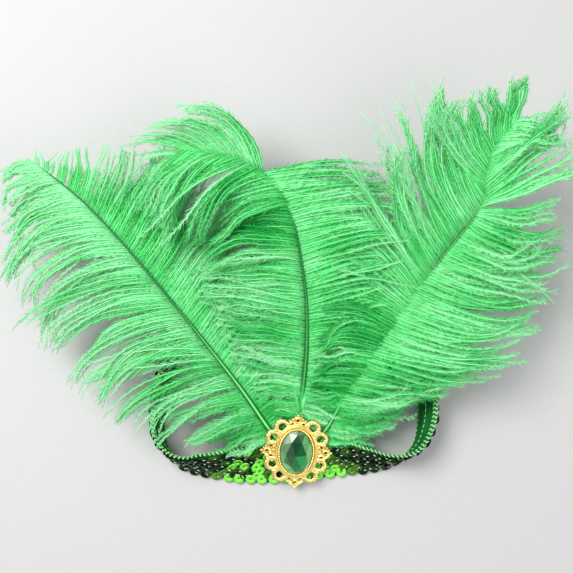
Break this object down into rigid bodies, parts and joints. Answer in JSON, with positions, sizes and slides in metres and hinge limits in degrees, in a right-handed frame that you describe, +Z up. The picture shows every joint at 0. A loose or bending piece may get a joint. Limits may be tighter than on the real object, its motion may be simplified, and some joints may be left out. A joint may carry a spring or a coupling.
{
  "type": "feather headband",
  "caption": "Costume headband: a sequined elastic loop lying on its edge, with dyed plumes fanned out behind a pierced gold brooch that holds a cut oval stone.",
  "frame": {"origin": "middle of the footprint, on the surface that the band lies on", "axes": "+X to the right across the plumes, seen from above with the brooch nearest; +Y from the brooch to the plume tips; +Z up"},
  "size_m": [0.2866, 0.2054, 0.0683],
  "materials": {
    "elastic": "woven elastic",
    "sequin": "glossy sequins",
    "feather": "dyed plume",
    "gold": "bright gold plate",
    "stone": "cut and foil backed"
  },
  "bodies": {
    "root": {"elastic_band": "elastic", "sequin_rows": "sequin", "feather_left": "feather", "feather_centre": "feather", "feather_right": "feather", "brooch_setting": "gold", "brooch_stone": "stone"}
  },
  "joints": []
}
